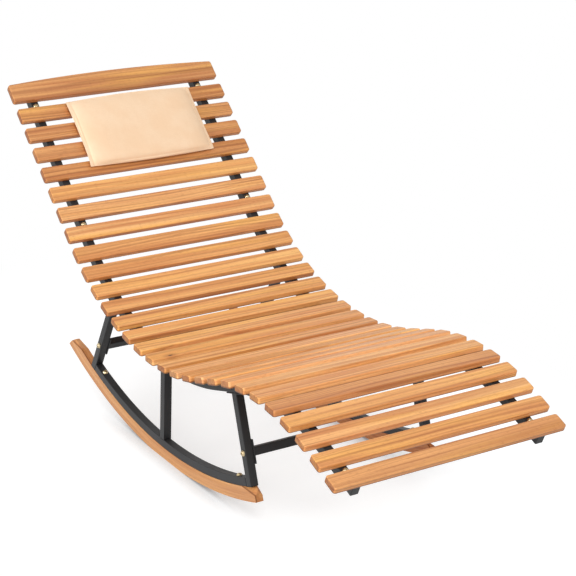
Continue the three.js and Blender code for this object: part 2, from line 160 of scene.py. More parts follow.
def mainFace(node, upward=False):
    # the way that the largest flat side of a CAD node faces, and that side's middle
    sides = [p for p in node.data.polygons if p.normal.z > 0.3 or not upward]
    alike = lambda p: [q for q in sides if p.normal.dot(q.normal) > 0.999]
    best = max(sides, key=lambda p: sum(q.area for q in alike(p)))
    group = alike(best)
    total = sum(q.area for q in group)
    middle = sum((q.area * q.center for q in group), Vector()) / total
    return best.normal.copy(), middle, group


def middleOf(node):
    low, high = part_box(node.name)
    return (low + high) / 2


def axesTo(out, along, origin):
    # a place whose z points out and whose y runs along
    side = along.cross(out).normalized()
    turn = Matrix((side, out.cross(side), out)).transposed().to_4x4()
    return Matrix.Translation(origin) @ turn


def finish(node, rounding=0.0):
    # joins a CAD node's loose triangles, rounds its corners and shades its faces evenly
    weld = node.modifiers.new("weld", "WELD")
    weld.merge_threshold = 1e-5
    if rounding:
        bevel = node.modifiers.new("bevel", "BEVEL")
        bevel.width = rounding
        bevel.segments = 3
        bevel.limit_method = "ANGLE"
        bevel.angle_limit = math.radians(50)
        bevel.use_clamp_overlap = False
    even = node.modifiers.new("even", "WEIGHTED_NORMAL")
    even.weight = 100
    for polygon in node.data.polygons:
        polygon.use_smooth = True


# camera, at the photograph's angle

camera = {
    "place": (3.330882, -2.0572, 1.850690),
    "azimuth": 57.31,
    "elevation": 20.317,
    "roll": 1.140,
    "lens": 109.13,
}


def makeCamera():
    data = bpy.data.cameras.new("studio_camera")
    data.lens = camera["lens"]
    data.sensor_width = 36
    data.sensor_fit = "HORIZONTAL"
    data.clip_start = 0.05
    data.clip_end = 60
    azimuth, elevation = math.radians(camera["azimuth"]), math.radians(camera["elevation"])
    level = math.cos(elevation)
    back = Vector((math.sin(azimuth) * level, -math.cos(azimuth) * level, math.sin(elevation)))
    turn = back.to_track_quat("Z", "Y").to_matrix() @ Matrix.Rotation(math.radians(camera["roll"]), 3, "Z")
    piece = bpy.data.objects.new("studio_camera", data)
    piece.matrix_world = Matrix.Translation(camera["place"]) @ turn.to_4x4()
    scene.collection.objects.link(piece)
    scene.camera = piece


makeCamera()
scene.view_settings.view_transform = "Standard"
print("camera set")


# studio: pale floor, a low lamp at the right side, a high one in front, white surroundings

studio = {
    "worldLevel": 0.565,
    "boxSize": 3.4,  # across each lamp
    "aim": (0, 0, 0.3),
    "sidePower": 242,
    "sidePlace": (-0.38, -6.08, 1.82),
    "frontPower": 209,
    "frontPlace": (4.56, -1.52, 4.29),
    "floorHalf": 12,
    "floorTone": paint(178, 181, 183),
    "floorLift": 0.73,  # what the camera sees over the lamps' own light
    "contact": ((0.07, 0.42), (0.30, 0.38)),  # reach of a contact shadow, and what it leaves of the lift
    "fadeShape": (0.85, 1.35, 0),  # an oval round the object, past which the floor turns white
    "fadeFrom": 0.75,
    "fadeTo": 1.25,
}


def seenDirectly(tree):
    # 1 for what the camera, a reflection or a transparent piece looks at
    path = put(tree, "LightPath")
    seen = calc(tree, "MAXIMUM", path.outputs["Is Camera Ray"], path.outputs["Is Glossy Ray"])
    return calc(tree, "MAXIMUM", seen, path.outputs["Is Transmission Ray"])


def makeWorld():
    world = bpy.data.worlds.new("white_surroundings")
    world.use_nodes = True
    tree = world.node_tree
    tree.nodes.clear()
    level = ease(tree, seenDirectly(tree), 0.0, 1.0, studio["worldLevel"], 1.0)
    background = put(tree, "Background", {"Color": (1, 1, 1, 1), "Strength": level})
    output = put(tree, "OutputWorld", {"Surface": background.outputs[0]})
    output.is_active_output = True
    scene.world = world


def makeLamp(name, power, place):
    data = bpy.data.lights.new(name, "AREA")
    data.energy = power
    data.shape = "DISK"
    data.size = studio["boxSize"]
    lamp = bpy.data.objects.new(name, data)
    aim = (Vector(place) - Vector(studio["aim"])).to_track_quat("Z", "Y")
    lamp.matrix_world = Matrix.Translation(place) @ aim.to_matrix().to_4x4()
    scene.collection.objects.link(lamp)


def makeFloor():
    def build(shape):
        bmesh.ops.create_grid(shape, x_segments=2, y_segments=2, size=studio["floorHalf"])

    floor = newPiece("studio_floor", meshFrom("studio_floor", build))
    material, tree, shader = newMaterial("floor_paint", Roughness=0.9, Specular_IOR_Level=0.1)
    shader.inputs["Base Color"].default_value = studio["floorTone"]
    output = next(n for n in tree.nodes if n.type == "OUTPUT_MATERIAL")
    coordinates = put(tree, "TexCoord").outputs["Object"]
    flat = stretched(tree, coordinates, studio["fadeShape"])
    reach = put(tree, "VectorMath", {0: flat}, operation="LENGTH").outputs["Value"]
    away = ease(tree, reach, studio["fadeFrom"], studio["fadeTo"])
    seen = seenDirectly(tree)
    openness = seen
    for distance, shade in studio["contact"]:
        nearby = put(tree, "AmbientOcclusion", {"Distance": distance}, samples=8).outputs["AO"]
        openness = calc(tree, "MULTIPLY", openness, ease(tree, nearby, 0.1, 0.95, shade, 1.0))
    lift = put(tree, "Emission", {"Strength": calc(tree, "MULTIPLY", openness, studio["floorLift"])})
    lit = put(tree, "AddShader", {0: shader.outputs[0], 1: lift.outputs[0]})
    white = put(tree, "Emission", {"Strength": 1.0})
    share = calc(tree, "MULTIPLY", away, seen)
    mixed = put(tree, "MixShader", {0: share, 1: lit.outputs[0], 2: white.outputs[0]})
    tree.links.new(mixed.outputs[0], output.inputs["Surface"])
    dress(floor, material)


makeWorld()
makeLamp("side_softbox", studio["sidePower"], studio["sidePlace"])
makeLamp("front_softbox", studio["frontPower"], studio["frontPlace"])
makeFloor()
print("studio lit")


# oiled hardwood: slats, headboard and rocker shoes

timber = {
    "honey": (paint(242, 184, 120), paint(218, 148, 91), paint(158, 92, 50)),
    "straw": (paint(248, 192, 120), paint(228, 160, 95), paint(166, 98, 52)),
    # paler, pinker wood, partly painted sheen
    "roseWithSheen": (paint(246, 192, 134), paint(226, 158, 104), paint(168, 100, 60)),
    "amber": (paint(240, 178, 110), paint(213, 144, 85), paint(152, 88, 46)),
    "russet": (paint(226, 163, 103), paint(199, 131, 78), paint(140, 78, 41)),
    # browner wood, also standing in for the pillow's painted shadow on slat 5
    "brownAndPillowShade": (paint(218, 152, 92), paint(192, 122, 68), paint(132, 72, 36)),
    "shoe": (paint(210, 154, 99), paint(188, 127, 76), paint(142, 84, 44)),
    # a darker copy of the shoe wood, for painted shade on the far shoe
    "shadedShoe": (paint(182, 114, 62), paint(158, 88, 44), paint(116, 60, 28)),
    "gold": paint(250, 190, 96),
    "umber": paint(146, 80, 40),
    "ringSpacing": 0.0052,
    "driftScale": (6, 1.5, 6),  # these stretch the noises, sideways, along and through the board
    "fibreScale": (620, 9, 620),
    "stripeScale": (85, 1.6, 85),
    "blushScale": (9, 2.2, 9),
    "poreScale": (1500, 70, 1500),
    "streakScale": (150, 1.3, 150),
    "glowScale": (40, 2.6, 40),
    "edgeTones": {  # multiplied on the long edges, against the face; all but the darker "deep" tone paint light onto the edges
        "paintedEdgeLight": (1.12, 1.06, 0.98, 1),
        "deep": (0.88, 0.76, 0.68, 1),
        "strongPaintedEdgeLight": (1.26, 1.33, 1.3, 1),
    },
    # painted shade along the lower arrises of the long edges
    "lowerArrisShade": (0.36, 0.28, 0.23, 1),
    "endTone": paint(154, 136, 111),
    "shoeRadius": 1.16,  # of the arc that the grain of the shoes follows
    "shoeCentre": (-0.0134, 1.2187),
    "shoeEndRoom": 0.1,  # keeps the end tone off the shoes' cut tips
}
slatTones = {
    "russet": (1, 3, 4, 25, 29),
    # slat 5's browner tone paints in the pillow's shadow; slat 2 is a browner board
    "brownAndPillowShade": (2, 5),
    "straw": (6, 11, 14),
    "amber": (9, 10, 12, 13, 19, 26, 28),
    # paler, pinker seat boards, whose tone also paints in their sheen
    "roseWithSheen": (18, 20, 21, 22),
}
# boards whose long edges are darker, and boards whose edges get stronger painted light
slatEdges = {"deep": (7, 8, 12, 14, 17), "strongPaintedEdgeLight": (16, 18, 24)}
knot = {
    "slat": 16, "across": 0.013, "along": -0.249, "size": 0.0035,
    "stretch": (1, 0.45, 0.3), "swell": 0.006, "swellReach": 0.016, "haloReach": 0.012,
    "tone": paint(64, 34, 18),
}


def makeWood(name, tone, turn, halfLength, halfThickness, seed, edgeTone="paintedEdgeLight", knotAt=None, figure=1.0):
    # turn is the board's own place, or the depth of a shoe whose grain follows its arc
    light, middle, dark = timber[tone]
    chance = random.Random(seed)
    material, tree, shader = newMaterial(name, Roughness=0.46, Specular_IOR_Level=0.42)
    if isinstance(turn, float):
        local = bentSpace(tree, timber["shoeRadius"], timber["shoeCentre"], turn)
    else:
        local = localSpace(tree, turn)
    axes = put(tree, "SeparateXYZ", {0: local}).outputs
    offset = (chance.uniform(-9, 9), chance.uniform(-9, 9), chance.uniform(-9, 9))
    logSpace = put(tree, "VectorMath", {0: local, 1: offset}, operation="ADD").outputs[0]

    # growth rings round a pith below or beside the board, wandering along its length
    pithSide = chance.choice((-1, 1)) * chance.uniform(0.012, 0.05 + 0.03 * figure)
    pithDepth = -chance.uniform(0.014, 0.05)
    slow = noiseOf(tree, stretched(tree, logSpace, timber["driftScale"]), 1.0, 2.0)
    wander = ease(tree, slow, 0.2, 0.8, -0.011, 0.011)
    across = calc(tree, "ADD", calc(tree, "SUBTRACT", axes[0], pithSide), wander)
    deep = calc(tree, "SUBTRACT", axes[2], pithDepth)
    if knotAt:
        toKnot = put(tree, "VectorMath", {0: local, 1: knotAt}, operation="SUBTRACT").outputs[0]
        oval = stretched(tree, toKnot, knot["stretch"])
        fromKnot = put(tree, "VectorMath", {0: oval}, operation="LENGTH").outputs["Value"]
        swell = ease(tree, fromKnot, 0.0, knot["swellReach"], knot["swell"], 0.0)
        across = calc(tree, "ADD", across, swell)
    flatPoint = put(tree, "CombineXYZ", {0: across, 1: 0.0, 2: deep}).outputs[0]
    radius = put(tree, "VectorMath", {0: flatPoint}, operation="LENGTH").outputs["Value"]
    ringAt = calc(tree, "DIVIDE", radius, timber["ringSpacing"] * chance.uniform(0.8, 1.3))
    ringValues = {"W": ringAt, "Scale": 0.8, "Detail": 3.0, "Roughness": 0.55}
    rings = put(tree, "TexNoise", ringValues, noise_dimensions="1D").outputs[0]
    lateWood = ease(tree, rings, 0.44, 0.66)

    # long fibres, broad stripes of tone, and short open pores
    fibres = noiseOf(tree, stretched(tree, logSpace, timber["fibreScale"]), 1.0, 3.0, 0.6)
    stripes = noiseOf(tree, stretched(tree, logSpace, timber["stripeScale"]), 1.0, 2.0)
    blush = noiseOf(tree, stretched(tree, logSpace, timber["blushScale"]), 1.0, 1.0)
    pores = noiseOf(tree, stretched(tree, logSpace, timber["poreScale"]), 1.0, 0.0)
    poreShare = ease(tree, pores, 0.66, 0.74)
    streaks = noiseOf(tree, stretched(tree, logSpace, timber["streakScale"]), 1.0, 3.0, 0.6)
    glow = noiseOf(tree, stretched(tree, logSpace, timber["glowScale"]), 1.0, 2.0)

    colour = blendColours(tree, ease(tree, stripes, 0.36, 0.64), light, middle)
    goldShare = ease(tree, glow, 0.5, 0.72, 0.0, 0.5 * figure)
    colour = blendColours(tree, goldShare, colour, timber["gold"])
    umberShare = ease(tree, streaks, 0.56, 0.74, 0.0, 0.55 * figure)
    colour = blendColours(tree, umberShare, colour, timber["umber"])
    colour = blendColours(tree, ease(tree, blush, 0.35, 0.75, 0.0, 0.45), colour, middle)
    colour = blendColours(tree, calc(tree, "MULTIPLY", lateWood, 0.45 * figure), colour, dark)
    colour = blendColours(tree, ease(tree, fibres, 0.45, 0.8, 0.0, 0.34), colour, dark)
    colour = blendColours(tree, calc(tree, "MULTIPLY", poreShare, 0.4), colour, dark)
    if knotAt:
        core = ease(tree, fromKnot, knot["size"], knot["size"] * 0.45)
        halo = ease(tree, fromKnot, knot["haloReach"], knot["size"], 0.0, 0.5)
        colour = blendColours(tree, halo, colour, dark)
        colour = blendColours(tree, core, colour, knot["tone"])

    # painted light on the long edges, which the "deep" tone darkens instead; painted shade along their lower
    # arrises; and sawn ends take the darker tone of end grain
    edge = ease(tree, calc(tree, "ABSOLUTE", axes[2]), halfThickness - 0.0003, halfThickness - 0.0013)
    colour = blendColours(tree, edge, colour, timber["edgeTones"][edgeTone], "MULTIPLY")
    arris = calc(tree, "MULTIPLY", ease(tree, axes[2], 0.0050 - halfThickness, 0.0014 - halfThickness), edge)
    colour = blendColours(tree, arris, colour, timber["lowerArrisShade"], "MULTIPLY")
    end = ease(tree, calc(tree, "ABSOLUTE", axes[1]), halfLength - 0.0016, halfLength - 0.0003)
    colour = blendColours(tree, calc(tree, "MULTIPLY", end, 0.75), colour, timber["endTone"], "MULTIPLY")
    tree.links.new(colour, shader.inputs["Base Color"])
    sheen = ease(tree, fibres, 0.3, 0.8, 0.4, 0.56)
    tree.links.new(sheen, shader.inputs["Roughness"])
    height = calc(tree, "SUBTRACT", calc(tree, "MULTIPLY", fibres, 0.5), poreShare)
    height = calc(tree, "SUBTRACT", height, calc(tree, "MULTIPLY", lateWood, 0.3))
    bumped(tree, shader, height, 0.35, 0.00025)
    return material


def slatPlace(node):
    # a slat's middle, with z out of its upper face and y along it
    out = mainFace(node, upward=True)[0]
    return axesTo(out, Vector((0, 1, 0)), middleOf(node))


slatNames = ["headboard"] + ["slat_%02d" % number for number in range(2, 30)]
slatPlaces = {}
slatHalf = {}
for number, nodeName in enumerate(slatNames, 1):
    node = cadNodes[nodeName]
    slatPlaces[nodeName] = turn = slatPlace(node)
    reach = [turn.inverted() @ v.co for v in node.data.vertices]
    slatHalf[nodeName] = half = Vector([max(p[axis] for p in reach) for axis in range(3)])
    tone = next((tone for tone, numbers in slatTones.items() if number in numbers), "honey")
    edgeTone = next((tone for tone, numbers in slatEdges.items() if number in numbers), "paintedEdgeLight")
    knotAt = (knot["across"], knot["along"], half.z) if number == knot["slat"] else None
    dress(node, makeWood(nodeName + "_oiled_wood", tone, turn, half.y, half.z, number, edgeTone, knotAt))
    finish(node)
for sideName, side in sideNames.items():
    node = cadNodes["rocker_shoe_" + sideName]
    low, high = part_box(node.name)
    depth, halfWidth = (low.y + high.y) / 2, (high.y - low.y) / 2
    halfLength = (high.x - low.x) / 2 + timber["shoeEndRoom"]
    # the far shoe takes the darker copy of the shoe wood, painted shade
    tone = "shoe" if side < 0 else "shadedShoe"
    woodName = node.name + "_oiled_wood"
    dress(node, makeWood(woodName, tone, depth, halfLength, halfWidth, 90 + side, figure=0.4))
print("wood done")


# powder-coated steel: rails, rocker tubes, legs and stretchers

coating = {
    "tone": paint(35, 35, 36),
    "dusty": paint(52, 52, 53),
    "grainSize": 0.0011,
    "rounding": 0.0016,  # of the tubes' corners
}


def makeSteel():
    material, tree, shader = newMaterial("charcoal_powder_coat", Roughness=0.5, Specular_IOR_Level=0.32)
    point = put(tree, "TexCoord").outputs["Object"]
    clouds = noiseOf(tree, point, 7, 3.0)
    peel = noiseOf(tree, point, 1 / coating["grainSize"], 1.0)
    colour = blendColours(tree, ease(tree, clouds, 0.4, 0.8, 0.0, 0.3), coating["tone"], coating["dusty"])
    tree.links.new(colour, shader.inputs["Base Color"])
    tree.links.new(ease(tree, clouds, 0.3, 0.7, 0.44, 0.56), shader.inputs["Roughness"])
    bumped(tree, shader, peel, 0.25, 0.0003)
    return material


steel = makeSteel()
for nodeName, node in cadNodes.items():
    if nodeName.startswith(("rail_right", "rail_left", "rocker_tube", "rear_", "middle_leg", "front_")):
        dress(node, steel)
        finish(node, coating["rounding"])
print("steel done")


# geometry node helpers

def newTree(name, sizes):
    # a node tree that starts from a mesh, with a named input for each size
    tree = bpy.data.node_groups.new(name, "GeometryNodeTree")
    tree.interface.new_socket("Geometry", in_out="INPUT", socket_type="NodeSocketGeometry")
    for sizeName, kind in sizes.items():
        tree.interface.new_socket(sizeName, in_out="INPUT", socket_type="NodeSocket" + kind)
    tree.interface.new_socket("Geometry", in_out="OUTPUT", socket_type="NodeSocketGeometry")
    start = tree.nodes.new("NodeGroupInput")
    end = tree.nodes.new("NodeGroupOutput")
    return tree, start, end


def grow(tree, kind, values=None, **settings):
    node = tree.nodes.new(kind)
    for setting, value in settings.items():
        setattr(node, setting, value)
    for key, value in (values or {}).items():
        if isinstance(value, bpy.types.NodeSocket):
            tree.links.new(value, node.inputs[key])
        else:
            node.inputs[key].default_value = value
    return node


def closeTree(tree, end, geometry, material):
    real = grow(tree, "GeometryNodeRealizeInstances", {0: geometry})
    painted = grow(tree, "GeometryNodeSetMaterial", {0: real.outputs[0], "Material": material})
    tree.links.new(painted.outputs[0], end.inputs[0])


def runTree(name, startMesh, tree, sizes, material):
    # grows the tree on a mesh and keeps the result as a plain mesh
    helper = newPiece(name + "_points", startMesh)
    modifier = helper.modifiers.new("growth", "NODES")
    modifier.node_group = tree
    for item in tree.interface.items_tree:
        if item.in_out == "INPUT" and item.name in sizes:
            modifier[item.identifier] = sizes[item.name]
    depsgraph = bpy.context.evaluated_depsgraph_get()
    mesh = bpy.data.meshes.new_from_object(helper.evaluated_get(depsgraph), depsgraph=depsgraph)
    bpy.data.objects.remove(helper)
    mesh.name = name
    piece = newPiece(name, mesh)
    if not len(mesh.materials):
        mesh.materials.append(material)
    return piece


def pointCloud(name, places):
    # loose points, each with the turn that its copy takes
    mesh = bpy.data.meshes.new(name)
    mesh.from_pydata([place.translation for place in places], [], [])
    turns = mesh.attributes.new("turn", "FLOAT_VECTOR", "POINT")
    for index, place in enumerate(places):
        turns.data[index].vector = place.to_euler()
    return mesh


def scatterTree(name, template, material):
    # puts a copy of a template on every point, turned as the point says
    tree, start, end = newTree(name, {"Size": "Float"})
    shape = grow(tree, "GeometryNodeObjectInfo", {"Object": template})
    turn = grow(tree, "GeometryNodeInputNamedAttribute", {"Name": "turn"}, data_type="FLOAT_VECTOR")
    rotation = grow(tree, "FunctionNodeEulerToRotation", {0: turn.outputs[0]})
    copies = grow(tree, "GeometryNodeInstanceOnPoints", {
        "Points": start.outputs[0], "Instance": shape.outputs["Geometry"],
        "Rotation": rotation.outputs[0], "Scale": start.outputs["Size"]})
    closeTree(tree, end, copies.outputs[0], material)
    return tree


def lathe(shape, profile, sides):
    # turns a profile of radius and height pairs about z into a closed skin
    rings = []
    for radius, height in profile:
        if radius == 0:
            rings.append([shape.verts.new((0, 0, height))])
            continue
        ring = []
        for step in range(sides):
            angle = 2 * math.pi * step / sides
            ring.append(shape.verts.new((radius * math.cos(angle), radius * math.sin(angle), height)))
        rings.append(ring)
    for low, high in zip(rings, rings[1:]):
        for step in range(sides):
            after = (step + 1) % sides
            corners = [low[step % len(low)], low[after % len(low)]]
            corners += [high[after % len(high)], high[step % len(high)]]
            unique = list(dict.fromkeys(corners))
            if len(unique) > 2:
                shape.faces.new(unique)
    bmesh.ops.recalc_face_normals(shape, faces=shape.faces)


def smooth(piece, angle):
    # smooth shading, with every edge past the angle kept sharp
    for polygon in piece.data.polygons:
        polygon.use_smooth = True
    shape = bmesh.new()
    shape.from_mesh(piece.data)
    for edge in shape.edges:
        edge.smooth = edge.calc_face_angle(0) < math.radians(angle)
    shape.to_mesh(piece.data)
    shape.free()


# zinc-plated bolts, domed with a hexagon socket

bolt = {
    "headRadius": 0.007, "headHeight": 0.005, "rim": 0.0012, "chamfer": 0.0003, "rounding": 0.0004,
    "shankRadius": 0.003, "shankReach": 0.003,
    "socketAcross": 0.0042, "socketDepth": 0.0022, "drillPoint": 0.0006, "landShare": 1.35,
    "sides": 36, "domeSteps": 6,
}


def makeZinc():
    material, tree, shader = newMaterial("yellow_zinc", Metallic=1.0, Roughness=0.3)
    point = put(tree, "TexCoord").outputs["Object"]
    clouds = noiseOf(tree, point, 160, 2.0)
    colour = blendColours(tree, ease(tree, clouds, 0.3, 0.7), paint(206, 190, 156), paint(174, 154, 116))
    tree.links.new(colour, shader.inputs["Base Color"])
    tree.links.new(ease(tree, clouds, 0.3, 0.7, 0.28, 0.42), shader.inputs["Roughness"])
    bumped(tree, shader, noiseOf(tree, point, 900, 1.0), 0.1, 0.0001)
    return material


zinc = makeZinc()


def boltShape(shape):
    # a short shank, a domed head and a hexagon socket, seated at z 0
    radius, height, rim = bolt["headRadius"], bolt["headHeight"], bolt["rim"]
    shank, shankEnd = bolt["shankRadius"], -bolt["shankReach"]
    chamfer, rounding = bolt["chamfer"], bolt["rounding"]
    socket = bolt["socketAcross"] / math.sqrt(3)
    crown = []
    for step in range(bolt["domeSteps"] + 1):
        share = step / bolt["domeSteps"]
        reach = radius - rounding - (radius - rounding - socket * bolt["landShare"]) * share
        crown.append((reach, rim + (height - rim) * math.sin(share * math.pi / 2) ** 0.9))
    outline = [(0, shankEnd), (shank, shankEnd), (shank, 0), (radius - chamfer, 0), (radius, chamfer)]
    outline.append((radius, rim - rounding))
    lathe(shape, outline + crown, bolt["sides"])
    top = max(shape.verts, key=lambda v: v.co.z).co.z
    rimVerts = [v for v in shape.verts if v.co.z > top - 1e-6]
    rimVerts.sort(key=lambda v: math.atan2(v.co.y, v.co.x))
    count = len(rimVerts)

    def hexagon(height):
        ring = []
        for vert in rimVerts:
            angle = math.atan2(vert.co.y, vert.co.x)
            fold = (angle + math.pi / 6) % (math.pi / 3) - math.pi / 6
            reach = bolt["socketAcross"] / 2 / math.cos(fold)
            ring.append(shape.verts.new((reach * math.cos(angle), reach * math.sin(angle), height)))
        return ring

    mouth, floorRing = hexagon(top), hexagon(top - bolt["socketDepth"])
    bottom = shape.verts.new((0, 0, top - bolt["socketDepth"] - bolt["drillPoint"]))
    for step in range(count):
        after = (step + 1) % count
        shape.faces.new((rimVerts[step], rimVerts[after], mouth[after], mouth[step]))
        shape.faces.new((mouth[step], mouth[after], floorRing[after], floorRing[step]))
        shape.faces.new((floorRing[step], floorRing[after], bottom))
    bmesh.ops.recalc_face_normals(shape, faces=shape.faces)


def boltPlace(node):
    # where a CAD bolt's head is seated, with z out of the steel
    inward, middle, group = mainFace(node)
    out = -inward
    seat = max(p.center.dot(out) for p in group)
    origin = middle + out * (seat - middle.dot(out))
    across = Vector((0, 1, 0)) if abs(out.y) < 0.5 else Vector((1, 0, 0))
    return axesTo(out, across, origin)


boltNames = sorted(name for name in cadNodes if "_bolt_" in name)
boltTemplate = newPiece("bolt_template", meshFrom("bolt_template", boltShape))
boltPlaces = [boltPlace(cadNodes[name]) for name in boltNames]
bolts = runTree("frame_bolts", pointCloud("bolt_points", boltPlaces),
                scatterTree("bolt_heads", boltTemplate, zinc), {"Size": 1.0}, zinc)
bpy.data.objects.remove(boltTemplate)
smooth(bolts, 35)
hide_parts(*boltNames)
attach(bolts, "lounge")
print("bolts done,", len(boltNames))


# slat screws, up through the rails into each slat

screw = {
    "headRadius": 0.0042, "headHeight": 0.0022, "rim": 0.0004, "shankReach": 0.001, "shankShare": 0.5,
    "railDepth": 0.025, "gap": 0.0003, "headboardOffset": 0.004,
    "sides": 20, "domeSteps": 6,
}


def screwShape(shape):
    radius, height, rim = screw["headRadius"], screw["headHeight"], screw["rim"]
    shank, shankEnd = radius * screw["shankShare"], -screw["shankReach"]
    outline = [(0, shankEnd), (shank, shankEnd), (shank, 0), (radius, 0)]
    for step in range(screw["domeSteps"]):
        angle = math.pi / 2 * step / screw["domeSteps"]
        outline.append((radius * math.cos(angle), rim + (height - rim) * math.sin(angle)))
    lathe(shape, outline + [(0, height)], screw["sides"])


screwPlaces = []
for nodeName, turn in slatPlaces.items():
    out = turn.to_3x3().col[2]
    for sideName in sideNames:
        spot = turn.translation - out * (slatHalf[nodeName].z + screw["gap"] + screw["railDepth"])
        if nodeName == "headboard":
            spot = spot + turn.to_3x3().col[0] * screw["headboardOffset"]
        spot.y = middleOf(cadNodes["rail_" + sideName]).y
        screwPlaces.append(axesTo(-out, Vector((0, 1, 0)), spot))
screwTemplate = newPiece("screw_template", meshFrom("screw_template", screwShape))
screws = runTree("slat_screws", pointCloud("screw_points", screwPlaces),
                 scatterTree("screw_heads", screwTemplate, zinc), {"Size": 1.0}, zinc)
bpy.data.objects.remove(screwTemplate)
smooth(screws, 35)
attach(screws, "lounge")
print("slat screws done,", len(screwPlaces))


# headrest pillow

pillow = {
    "rows": 60, "columns": 116,
    "flange": 0.009, "flangeHalf": 0.0011,  # flat borders along the two short sides
    "sag": 0.4, "tuck": 0.0018,  # of the seam along the foot side
    "wrinkle": 0.0006, "wrinkleReach": 0.016, "pull": 0.0012, "seamHold": 0.004,
    "hemAt": 0.0075, "hemHalf": 0.0016, "hemDepth": 0.0010,
    "pressure": 1.6, "slack": 0.012, "stiffness": 12, "bending": 0.2, "steps": 20, "cap": 0.003,
    "thread": 0.00055,
    "light": paint(246, 215, 182), "warm": paint(243, 208, 172), "deep": paint(234, 199, 163),
    "between": paint(206, 170, 132),
}


def pillowPlace():
    # middle of the pillow on the slats' face, z out of the slats and x down the back
    out = slatPlaces["slat_04"].to_3x3().col[2]
    spot = middleOf(cadNodes["headrest_pillow"])
    low = min(v.co.dot(out) for v in cadNodes["headrest_pillow"].data.vertices)
    spot = spot + out * (low - spot.dot(out))
    return axesTo(out, Vector((0, 1, 0)), spot)


def makeCloth():
    material, tree, shader = newMaterial("sand_canvas", Roughness=0.85, Specular_IOR_Level=0.2)
    local = localSpace(tree, pillowTurn)
    axes = put(tree, "SeparateXYZ", {0: local}).outputs
    clouds = noiseOf(tree, local, 22, 3.0)
    slub = noiseOf(tree, stretched(tree, local, (1400, 60, 1400)), 1.0, 1.0)
    slubAcross = noiseOf(tree, stretched(tree, local, (60, 1400, 60)), 1.0, 1.0)
    turns = math.pi / pillow["thread"]
    warp, weft = [calc(tree, "SINE", calc(tree, "MULTIPLY", axis, turns)) for axis in (axes[0], axes[1])]
    weave = calc(tree, "MULTIPLY", warp, weft)
    colour = blendColours(tree, ease(tree, clouds, 0.3, 0.7), pillow["light"], pillow["warm"])
    colour = blendColours(tree, ease(tree, slub, 0.5, 0.8, 0.0, 0.5), colour, pillow["deep"])
    colour = blendColours(tree, ease(tree, slubAcross, 0.5, 0.8, 0.0, 0.4), colour, pillow["deep"])
    colour = blendColours(tree, ease(tree, weave, -1.0, 0.2, 0.22, 0.0), colour, pillow["between"])
    tree.links.new(colour, shader.inputs["Base Color"])
    shader.inputs["Sheen Weight"].default_value = 0.12
    shader.inputs["Sheen Roughness"].default_value = 0.5
    height = calc(tree, "ADD", calc(tree, "MULTIPLY", weave, 0.6), calc(tree, "ADD", slub, slubAcross))
    bumped(tree, shader, height, 0.3, 0.0002)
    return material


def measurePillow(mesh, turn):
    # the CAD pillow's outline and heights, in the pillow's own directions
    points = [turn.inverted() @ v.co for v in mesh.vertices]
    corner = max(points, key=lambda p: p.x + p.y)
    onSeam = [p for p in points if abs(p.z - corner.z) < 0.002]
    beside = [abs(p.y) for p in onSeam if abs(p.x) < 0.01 and abs(p.y) > 0.1]
    return {
        "corner": corner,
        "headBow": -min(p.x for p in points) - corner.x,
        "footBow": max(p.x for p in points) - corner.x,
        "drawIn": corner.y - max(beside),
        "crown": max(p.z for p in points) - corner.z,
    }


def seamHeight(across):
    # the seam lies lower along the foot side, where the filling has settled
    return pillowSize["corner"].z * (1 - pillow["sag"] * min(1.0, max(0.0, across)) ** 6)


def pillowSpot(across, along, face):
    # a spot on the upper or lower skin, from shares -1 to 1 of the way across and along
    corner = pillowSize["corner"]
    seam = seamHeight(across)
    bow = pillowSize["headBow"] if across < 0 else pillowSize["footBow"]
    x = across * (corner.x + bow * (1 - along ** 2) * across ** 2) - pillow["tuck"] * max(0.0, across) ** 6
    y = along * (corner.y - pillowSize["drawIn"] * (1 - across ** 2) * along ** 2)
    inside = min(1.0, abs(y) / (corner.y - pillow["flange"]))
    fullness = 7 if across > 0 else 4
    rise = (1 - abs(across) ** fullness) ** 0.5 * (1 - inside ** 6) ** 0.5
    flange = pillow["flangeHalf"] * (1 - across ** 12) * (1 - along ** 60)
    if face < 0:
        flat = (1 - across ** 6) ** 1.2 * (1 - inside ** 12) ** 0.9
        return Vector((x, y, seam * (1 - flat) - flange * (1 - flat)))
    toSeam = min(corner.x * (1 - abs(across)), corner.y * (1 - abs(along)))
    fold = noise.noise((x * 30, y * 62, 3.1)) + 0.5 * noise.noise((x * 60, y * 120, 7.7))
    pull = noise.noise((x * 9, y * 9, 1.3)) * pillow["pull"] * rise
    fold *= pillow["wrinkle"] * math.exp(-toSeam / pillow["wrinkleReach"])
    fold *= min(1, toSeam / pillow["seamHold"])
    crown = pillowSize["crown"] + (corner.z - seam)
    return Vector((x, y, seam + crown * rise + flange + fold + pull))


def pillowShape(shape):
    # two skins of one grid, joined along the seam, with closer rows towards it
    rows, columns = pillow["rows"], pillow["columns"]
    verts = {}

    def spread(share):
        return 0.6 * math.sin(share * math.pi / 2) + 0.4 * share

    def at(row, column, face):
        onSeam = row % rows == 0 or column % columns == 0
        key = (row, column, 1 if onSeam else face)
        if key not in verts:
            across = spread(2 * row / rows - 1)
            spot = pillowSpot(across, spread(2 * column / columns - 1), face)
            if onSeam:
                spot.z = seamHeight(across)
            verts[key] = shape.verts.new(spot)
        return verts[key]

    for face in (1, -1):
        for row in range(rows + 1):
            for column in range(columns + 1):
                at(row, column, face)
    for face in (1, -1):
        for row in range(rows):
            for column in range(columns):
                steps = ((0, 0), (1, 0), (1, 1), (0, 1))[::face]
                shape.faces.new([at(row + down, column + along, face) for down, along in steps])


